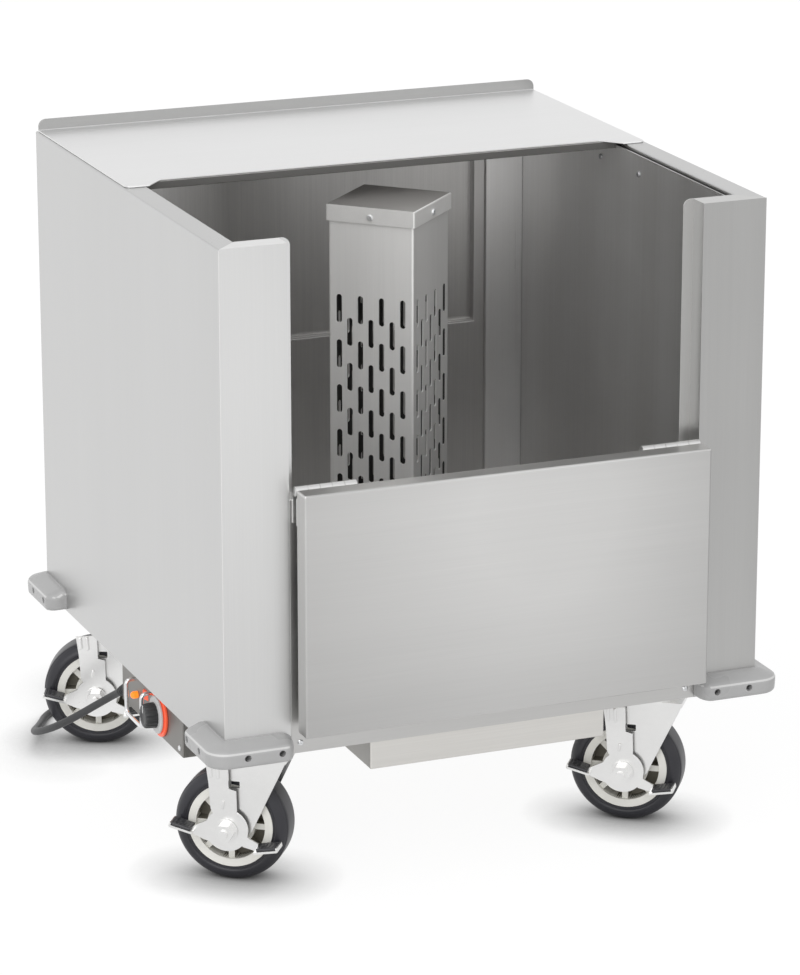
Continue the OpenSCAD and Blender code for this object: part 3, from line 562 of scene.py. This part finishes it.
# Casters: a zinc-plated pressed steel fork on a ball race, a cream moulded wheel centre in a
# solid dark tyre, and a stamped brake plate with two rubber-faced foot pedals. Each is bolted
# to the base through its top plate.
bright_zinc = brushed("bright_zinc", (0.915, 0.913, 0.905), 0.30, "x", 0.035, 0.04)
cream = grained("cream_centre", (0.88, 0.87, 0.82), 0.45, 0.03, 200.0, 0.05)
tyre_skin = grained("tyre_skin", (0.027, 0.027, 0.033), 0.33, 0.15, 380.0, 0.06)
pad_rubber = grained("pad_rubber", (0.050, 0.050, 0.055), 0.36, 0.20, 240.0, 0.30)
dressed("caster_plates", zinc, 0.4, 1)
dressed("caster_bolts", zinc, 0.5, 1)
corners = ["front_left", "front_right", "rear_left", "rear_right"]
joints = {j["name"]: j for j in frame["joints"]}


def tyre_profile(half, inner, outer, soft):
    """Tread with a fine parting groove by each shoulder, soft shoulders and a raised ring in
    each side wall, down to the seat on the wheel centre."""
    shoulder_steps = 10
    groove_step = 7
    side = [(half - 2.2, inner + 0.2), (half - 1.6, inner + 0.6), (half - 1.6, inner + 2.6),
            (half - 0.6, inner + 3.4)]
    for step in range(shoulder_steps + 1):
        angle = math.radians(90 / shoulder_steps * step)
        side.append((half - soft + soft * math.cos(angle), outer - soft + soft * math.sin(angle)))
        if step == groove_step:
            side += [(side[-1][0] - 0.5, side[-1][1] - 0.9), (side[-1][0] - 1.1, side[-1][1] - 0.2)]
    return [(-a, r) for a, r in side] + [(a, r) for a, r in reversed(side)]


def soft_block(work, low, high, soft, place):
    """One block between two corners, its edges rounded, added to a mesh at a place."""
    made = bmesh.ops.create_cube(work, size=1.0)["verts"]
    size = [high[i] - low[i] for i in range(3)]
    middle = [(high[i] + low[i]) / 2 for i in range(3)]
    bmesh.ops.scale(work, vec=Vector(size) * MM, verts=made)
    bmesh.ops.translate(work, vec=Vector(middle) * MM, verts=made)
    edges = list({edge for vert in made for edge in vert.link_edges})
    rounded = bmesh.ops.bevel(work, geom=edges, offset=soft * MM, segments=3, profile=0.5,
                              affect="EDGES", clamp_overlap=True)
    verts = {v for f in rounded["faces"] for v in f.verts} | {v for v in made if v.is_valid}
    bmesh.ops.transform(work, matrix=place, verts=list(verts))


def made_piece(name, work, material, body):
    """A smoothed piece of one material, riding with a body."""
    piece = smoothed(name, bpy.data.meshes.new(name), work)
    piece.data.materials.append(material)
    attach(piece, body)
    return piece


def punched(piece, work):
    """Cuts the shapes of a finished punch mesh out of a piece."""
    mesh = bpy.data.meshes.new("punch")
    work.to_mesh(mesh)
    work.free()
    punch = bpy.data.objects.new("punch", mesh)
    bpy.context.collection.objects.link(punch)
    piece.modifiers.clear()
    step = piece.modifiers.new("window", "BOOLEAN")
    step.operation = "DIFFERENCE"
    step.object = punch
    bpy.context.view_layer.update()
    finished = bpy.data.meshes.new_from_object(piece.evaluated_get(
        bpy.context.evaluated_depsgraph_get()))
    piece.modifiers.clear()
    piece.data = finished
    flatten(piece)
    bpy.data.objects.remove(punch)


# Painted shade: the deep pockets between the wheel centre's spokes are painted dark brown.
pocket_painted_shade = grained("pocket_painted_shade", (0.20, 0.185, 0.15), 0.6, 0.10, 200.0, 0.05)
wheel_radius = 65
tyre_half = 22
tyre_seat = 48.5
tyre_shoulder = 12
pocket_half = 10
fork_window = ((-13.5, 20, 48), (-3.5, 30, 55.5))
plate_flutes = ((4, (2.5, 34.2, 60), (6.5, 37.4, 77)),
                (4, (10.5, 34.2, 62), (14.5, 37.4, 77)),
                (-8, (6, 34.2, 24), (9.5, 37.2, 34)))
pedals = (("outer", (37, 24, -4.5), -14, 1, (3, 1, 2.5), (26, 21, 6.0)),
          ("inner", (-33, 24, -19.5), 190, -1, (3, 1, -3.5), (26, 21, 0)))
pad_ridges = 4
ridge_start = 4
ridge_pitch = 4.6
ridge_wide = 2.2
ridge_deep = 0.7
lip_thick = 5.5
for corner in corners:
    roll = joints["roll_" + corner]
    hub = Vector(roll["pos_m"]) / MM
    outward = Vector(roll["axis"])
    swivel = Vector(joints["swivel_" + corner]["pos_m"]) / MM
    behind = Vector((hub.x - swivel.x, hub.y - swivel.y, 0)).normalized()
    at_hub = Matrix.Translation(hub * MM) @ Matrix((
        (behind.x, outward.x, 0, 0), (behind.y, outward.y, 0, 0), (0, 0, 1, 0), (0, 0, 0, 1)))
    fork = dressed("fork_" + corner, bright_zinc, 0.7, 2)
    window = bmesh.new()
    soft_block(window, *fork_window, soft=0.8, place=at_hub)
    punched(fork, window)
    core = dressed("wheel_core_" + corner, cream, 0.8, 2)
    second_finish(core, pocket_painted_shade, lambda face: abs(
        (face.center - hub * MM).dot(outward)) < pocket_half * MM)
    tyre = turned("tyre_moulded_" + corner,
                  tyre_profile(tyre_half, tyre_seat, wheel_radius, tyre_shoulder), hub,
                  outward, 96, True)
    tyre.data.materials.append(tyre_skin)
    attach(tyre, "wheel_" + corner)
    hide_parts("tyre_" + corner)
    dressed("brake_" + corner, bright_zinc, 0.6, 2)
    flutes = bmesh.new()
    for lean, low, high in plate_flutes:
        soft_block(flutes, low, high, soft=1.3,
                   place=at_hub @ Matrix.Rotation(math.radians(lean), 4, "Y"))
    made_piece("brake_flutes_" + corner, flutes, bright_zinc, "brake_" + corner)
    for label, start, tilt, face, low, high in pedals:
        place = (at_hub @ Matrix.Translation(Vector(start) * MM)
                 @ Matrix.Rotation(math.radians(tilt), 4, "Y"))
        pad = bmesh.new()
        soft_block(pad, low, high, soft=1.3, place=place)
        crest = high[2] if face > 0 else low[2]
        for ridge in range(pad_ridges):
            x = low[0] + ridge_start + ridge * ridge_pitch
            soft_block(pad, (x, 3, crest - ridge_deep), (x + ridge_wide, 19, crest + ridge_deep),
                       soft=0.6, place=place)
        made_piece("pedal_pad_%s_%s" % (label, corner), pad, pad_rubber, "brake_" + corner)
        lip = bmesh.new()
        bottom = 0 if face > 0 else -3
        soft_block(lip, (25.5, 0, bottom), (28, 22, bottom + lip_thick), soft=1.1, place=place)
        made_piece("pedal_lip_%s_%s" % (label, corner), lip, bright_zinc, "brake_" + corner)

# Body shell: side panels, front posts, back and lower front, folded from 1.5 mm brushed
# stainless sheet with tight bends, welded at the corners and ground flush.
# Painted light and shade: the one stainless sheet gets a tone for each panel, lightest on the left post and darker
# on the front panel, the right post, the sides and the back.
side_steel = brushed("side_steel", (0.575, 0.575, 0.572), 0.30, "z", 0.035)
post_steel = brushed("post_steel", (0.80, 0.80, 0.795), 0.30, "z", 0.03)
right_post_painted_shade = brushed("right_post_painted_shade", (0.60, 0.598, 0.59), 0.30, "z", 0.03)
front_steel = brushed("front_steel", (0.66, 0.655, 0.645), 0.32, "x", 0.03)
for node, finish in (("left_side_panel", side_steel), ("right_side_panel", side_steel),
                     ("left_front_post", post_steel), ("right_front_post", right_post_painted_shade),
                     ("back_panel", side_steel), ("front_panel", front_steel)):
    dressed(node, finish, 0.6, 2, 1.8)
for label, x in (("left", -230.7), ("right", 230.7)):
    pan_head("front_screw_" + label, (x, -307.5, 184), (0, -1, 0), head_radius, "root")

# Well: liners and floor of satin stainless sheet, and the mineral wool packed behind them. The
# liners drop in from the top and are screwed to the side walls.
liner_steel = brushed("liner_steel", (0.66, 0.652, 0.642), 0.34, "z", 0.10, metal=0.9)
# Painted highlight: the right liner is set far brighter than the other liners and painted darker away from a place
# in its middle.
right_liner_painted_highlight = brushed("right_liner_painted_highlight", (0.96, 0.95, 0.935), 0.34, "z", 0.10, metal=0.9,
                      painted_highlight=((0.29, 0.0, 0.54), 0.34, 0.60))
wool = grained("wool", (0.62, 0.55, 0.33), 0.95, 0.15, 160.0, 0.6)
for node in ("left_liner", "front_liner", "well_floor_plate"):
    dressed(node, liner_steel, 0.5, 2, 1.6)
dressed("right_liner", right_liner_painted_highlight, 0.5, 2, 1.6)
# Painted highlight: the back liner's front faces out in the corner channels are painted much brighter.
channel_painted_light = brushed("channel_painted_light", (0.97, 0.96, 0.95), 0.30, "z", 0.08, metal=0.75)
channel_inner = 240
back_liner = dressed("back_liner", liner_steel, 0.5, 2, 1.6)
second_finish(back_liner, channel_painted_light, lambda face: face.normal.y < -square_on
              and abs(face.center.x) > channel_inner * MM)
for node in ("wall_insulation", "flap_core"):
    dressed(node, wool, 1.0, 2)

# Air column: a square duct of stainless sheet with punched slots that lead the warm air into
# the well, under a folded cap held by a screw in each side.
column_steel = brushed("column_steel", (0.93, 0.925, 0.91), 0.38, "z", 0.05, metal=0.45)
cap_steel = brushed("cap_steel", (0.88, 0.875, 0.86), 0.36, "x", 0.05, metal=0.5)
# Painted shade: the duct's inner faces, seen through the slots, are painted near black.
duct_painted_shade = brushed("duct_painted_shade", (0.10, 0.098, 0.094), 0.6, "z", 0.10, metal=0.3)
column_middle = sum(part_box("air_column"), Vector()) / 2
column = dressed("air_column", column_steel, 0.25, 1, 2.4)
# Painted shade: the column's right-facing faces are painted darker than its left ones.
column_painted_shade = brushed("column_painted_shade", (0.70, 0.695, 0.685), 0.38, "z", 0.05, metal=0.5)
rightward = 0.5
duct_inside = 20
second_finish(column, column_painted_shade, lambda face: face.normal.x > rightward)
second_finish(column, duct_painted_shade, lambda face: (face.center - column_middle).xy.dot(
    face.normal.xy) < -duct_inside * MM)
# Painted shade: the cap's top is painted darker than its skirts.
cap_top_painted_shade = brushed("cap_top_painted_shade", (0.41, 0.398, 0.385), 0.40, "x", 0.10, metal=0.55)
cap = dressed("column_cap", cap_steel, 0.4, 2, 2.0)
level = 0.95
second_finish(cap, cap_top_painted_shade, lambda face: face.normal.z > level)
dressed("column_screws", zinc, 0.4, 2)

# Heater: a steel-sheathed element bent to shape in the box under the base, and the blower, an
# enamelled motor with a sheet steel wheel, that drives air up the column.
sheath = grained("element_sheath", (0.16, 0.10, 0.08), 0.55, 0.3, 300.0, 0.15)
enamel = grained("motor_enamel", (0.05, 0.05, 0.055), 0.45, 0.1, 260.0, 0.1)
dressed("heating_element", sheath, 0.3, 1)
dressed("blower_motor", enamel, 0.8, 2)
dressed("blower_wheel", mill_steel, 0.3, 1)

# Top: the fixed rear deck, and the stainless sheet lid that slides over the side flanges with
# its back edge turned up as a stop.
lid_steel = brushed("lid_steel", (0.86, 0.86, 0.86), 0.36, "x", 0.03)
# Painted shade: the deck's front flange, under the lid's edge, is painted near black.
deck_edge_painted_shade = brushed("deck_edge_painted_shade", (0.13, 0.128, 0.122), 0.5, "x", 0.12, metal=0.4)
deck_front = 20
deck_low, deck_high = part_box("rear_deck")
deck = dressed("rear_deck", liner_steel, 0.5, 2, 1.6)
second_finish(deck, deck_edge_painted_shade, lambda face: face.center.y < deck_low.y + deck_front * MM)
# Painted shade: the lid's turned-up lip is painted darker than the lid.
lid_lip_painted_shade = brushed("lid_lip_painted_shade", (0.50, 0.50, 0.495), 0.36, "x", 0.05)
# Painted highlight: the lid's front edge is painted near white.
lid_edge_painted_highlight = brushed("lid_edge_painted_highlight", (0.97, 0.97, 0.97), 0.40, "x", 0.02, metal=0.1)
lid_leaf = 3.5
lid_edge = 0.8
lid = dressed("lid", lid_steel, 0.5, 2, 1.6)
second_finish(lid, lid_lip_painted_shade, lambda face: face.center.z > deck_high.z + lid_leaf * MM)
lid_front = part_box("lid")[0].y + lid_edge * MM
second_finish(lid, lid_edge_painted_highlight, lambda face: face.center.y < lid_front)

# Flap: a pan of brushed stainless sheet, its skin folded round all four sides over a wool
# core, hung on two butt hinges.
# Painted highlight: the flap is brightest about a place at its upper middle and painted darker towards its
# corners.
flap_steel = brushed("flap_steel", (0.80, 0.795, 0.785), 0.32, "x", 0.035,
                     painted_highlight=((0.04, -0.35, 0.42), 0.34, 0.74))
flap_round = 2.4
flap_low, flap_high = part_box("flap_shell")
skins = bmesh.new()
soft_block(skins, flap_low / MM, flap_high / MM, soft=flap_round, place=Matrix.Identity(4))
flap = made_piece("flap_skins", skins, flap_steel, "flap")
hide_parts("flap_shell", "flap_inner_panel")
dressed("hinge_fixed_leaves", bright_zinc, 0.5, 2)
dressed("hinge_moving_leaves", bright_zinc, 0.5, 2)

# Controls: moulded plastic parts snapped into the control box's face. A red-orange ring stands
# round the thermostat's dial, beside the pilot lamp and the rocker.
# Painted glow: the orange plastic glows of its own, though it is no lamp.
orange = grained("orange_ring", (0.86, 0.11, 0.045), 0.30, 0.06, 200.0, 0.03, glow=0.35)
lens = grained("lamp_lens", (1.0, 0.25, 0.02), 0.15, 0.04, 120.0, 0.02, glow=0.8)
skirt_grey = grained("dial_skirt", (0.62, 0.62, 0.62), 0.35, 0.03, 200.0, 0.03)
dressed("thermostat_bezel", orange, 1.4, 4)
dressed("pilot_lamp", lens, 0.2, 1)
dressed("rocker_switch", orange, 0.6, 2)
dressed("control_internals", black_mould, 0.8, 2)

# Dial: a grey skirt with a rolled rim and a black fluted grip, moulded and pushed onto the
# thermostat's shaft, about which it turns.
dial_face = Vector(joints["dial_turn"]["pos_m"]) / MM
dial_axis = Vector((-1, 0, 0))
skirt = turned("dial_skirt", [(3.8, 12), (3.8, 20.6), (4.6, 21.8), (5.6, 22), (6.6, 21.6),
                              (7.2, 20.4), (7.6, 18), (7.8, 12)],
               dial_face, dial_axis, 64, True)
skirt.data.materials.append(skirt_grey)
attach(skirt, "thermostat_dial")
grip = turned("dial_grip", [(-12, 0.2), (-12, 3), (3.8, 3), (3.8, 14.6), (9, 15), (18.5, 14.2),
                            (20.6, 13.4), (21.5, 11.8), (21.5, 8), (20.7, 6.5), (20.7, 0.2)],
              dial_face, dial_axis, 144)
flutes_round = 18
flute_deep = 0.9
flute_inner = 11
flute_start = 8
for vertex in grip.data.vertices:
    out = vertex.co - dial_face * MM
    flat = out - dial_axis * out.dot(dial_axis)
    if flat.length > flute_inner * MM and out.dot(dial_axis) > flute_start * MM:
        dent = 0.5 - 0.5 * math.cos(flutes_round * math.atan2(flat.z, flat.y))
        vertex.co -= flat.normalized() * dent * flute_deep * MM
grip.data.materials.append(black_mould)
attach(grip, "thermostat_dial")
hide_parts("thermostat_dial")
pointer = bmesh.new()
soft_block(pointer, (-22.0, -0.8, 4), (-21.0, 0.8, 13), soft=0.3,
           place=Matrix.Translation(dial_face * MM))
made_piece("dial_pointer", pointer, skirt_grey, "thermostat_dial")

# Guard bar: one bent length of chromed round stock in front of the rocker, with both ends
# welded to the box's face.
chrome = brushed("chrome", (0.88, 0.88, 0.89), 0.07, "z", 0.01, 0.0)


def bent_bar(name, turns, bend, radius):
    """Round bar through its turns, each bent to an arc."""
    bend_steps = 6
    points = [Vector(turns[0])]
    for before, turn, after in zip(turns, turns[1:], turns[2:]):
        into = (Vector(before) - Vector(turn)).normalized() * bend
        away = (Vector(after) - Vector(turn)).normalized() * bend
        for step in range(bend_steps + 1):
            t = step / bend_steps
            points.append(Vector(turn) + into * (1 - t) ** 2 + away * t ** 2)
    points.append(Vector(turns[-1]))
    return smooth_curve(name, points, radius, 3)


bar_turns = [(-297, -12.5, 152), (-312.5, -12.5, 152), (-312.5, -12.5, 112),
             (-312.5, 41.5, 112), (-312.5, 41.5, 152), (-297, 41.5, 152)]
bar = bent_bar("switch_bar", bar_turns, bend=7, radius=2.5)
bar.data.materials.append(chrome)
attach(bar, "root")
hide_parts("control_guard")

# Bumpers: corner pieces moulded in grey plastic, with soft round tops, a ridge painted lighter
# as a painted highlight, and round ends, each held by four sunk screws.
bumper_rubber = grained("bumper_rubber", (0.41, 0.41, 0.41), 0.28, 0.03, 260.0, 0.03)
dull_zinc = brushed("dull_zinc", (0.42, 0.42, 0.43), 0.45, "z", 0.06, 0.05)
bumper_outline = [(0, 0), (18.8, 0), (21.4, 0.7), (22.8, 2.4), (23.2, 5), (23.65, 14.2),
                  (23.4, 16.2), (22.3, 18.2), (20.2, 19.9), (17, 21.2), (9, 24.4), (5.5, 25.6),
                  (3, 26), (0, 26)]
bumper_proud = 23.65
bumper_leg = 76.5
bumper_middle = 9
bumper_tip = 14
tip_places = (0.5, 1.5, 3, 5, 7.5, 10.5, 14)
corner_steps = 8
bumper_screws = (18, 57.5)
screw_height = 11
hole_radius = 3.8
hole_length = 20
hole_out = 22


def swept_round(work, corner, ways):
    """One bumper round a corner of the body. Its outline, (out from the wall, up), runs along
    both walls and shrinks to a round end at each tip."""
    tips = [(past - bumper_leg, math.sqrt(1 - (1 - past / bumper_tip) ** 2))
            for past in tip_places]
    stations = [((at, 0), 90.0, full) for at, full in tips]
    stations += [((0, 0), 90 - 90 / corner_steps * step, 1.0)
                 for step in range(corner_steps + 1)]
    stations += [((0, at), 0.0, full) for at, full in reversed(tips)]
    rings = []
    for (x, y), heading, full in stations:
        heading = math.radians(heading)
        rings.append([work.verts.new((corner + Vector((
            ways[0] * (x + out * full * math.cos(heading)),
            ways[1] * (y + out * full * math.sin(heading)),
            bumper_middle + (up - bumper_middle) * (0.5 + 0.5 * full)))) * MM)
            for out, up in bumper_outline])
    for before, after in zip(rings, rings[1:]):
        for i in range(len(before)):
            work.faces.new((before[i - 1], before[i], after[i], after[i - 1]))
    work.faces.new(rings[0])
    work.faces.new(rings[-1])


moulded = bmesh.new()
drill = bmesh.new()
bumper_low, bumper_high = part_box("corner_bumpers")
for x_way in (-1, 1):
    for y_way, wall in ((-1, bumper_low.y / MM + bumper_proud),
                        (1, bumper_high.y / MM - bumper_proud)):
        corner = Vector((x_way * (bumper_high.x / MM - bumper_proud), wall, bumper_low.z / MM))
        swept_round(moulded, corner, (x_way, y_way))
        for along in bumper_screws:
            for axis, spot in (("X", (-along * x_way, hole_out * y_way, screw_height)),
                               ("Y", (hole_out * x_way, -along * y_way, screw_height))):
                bmesh.ops.create_cone(
                    drill, cap_ends=True, segments=24, radius1=hole_radius * MM,
                    radius2=hole_radius * MM, depth=hole_length * MM,
                    matrix=Matrix.Translation((corner + Vector(spot)) * MM)
                    @ Matrix.Rotation(math.radians(90), 4, axis))
same_point = 0.000002
bmesh.ops.remove_doubles(moulded, verts=moulded.verts, dist=same_point)
bmesh.ops.recalc_face_normals(moulded, faces=moulded.faces)
bumpers = made_piece("bumpers_moulded", moulded, bumper_rubber, "root")
punched(bumpers, drill)
# Painted highlight: the faces along the bumpers' ridge are painted lighter.
ridge_painted_highlight = grained("ridge_painted_highlight", (0.62, 0.62, 0.615), 0.25, 0.03, 260.0, 0.02)
ridge_tilt = (0.40, 0.56)
ridge_height = 15.5
second_finish(bumpers, ridge_painted_highlight, lambda face: ridge_tilt[0] < face.normal.z < ridge_tilt[1]
              and face.center.z > bumper_low.z + ridge_height * MM)
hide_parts("corner_bumpers")
dressed("body_screws", dull_zinc, 0.3, 1)
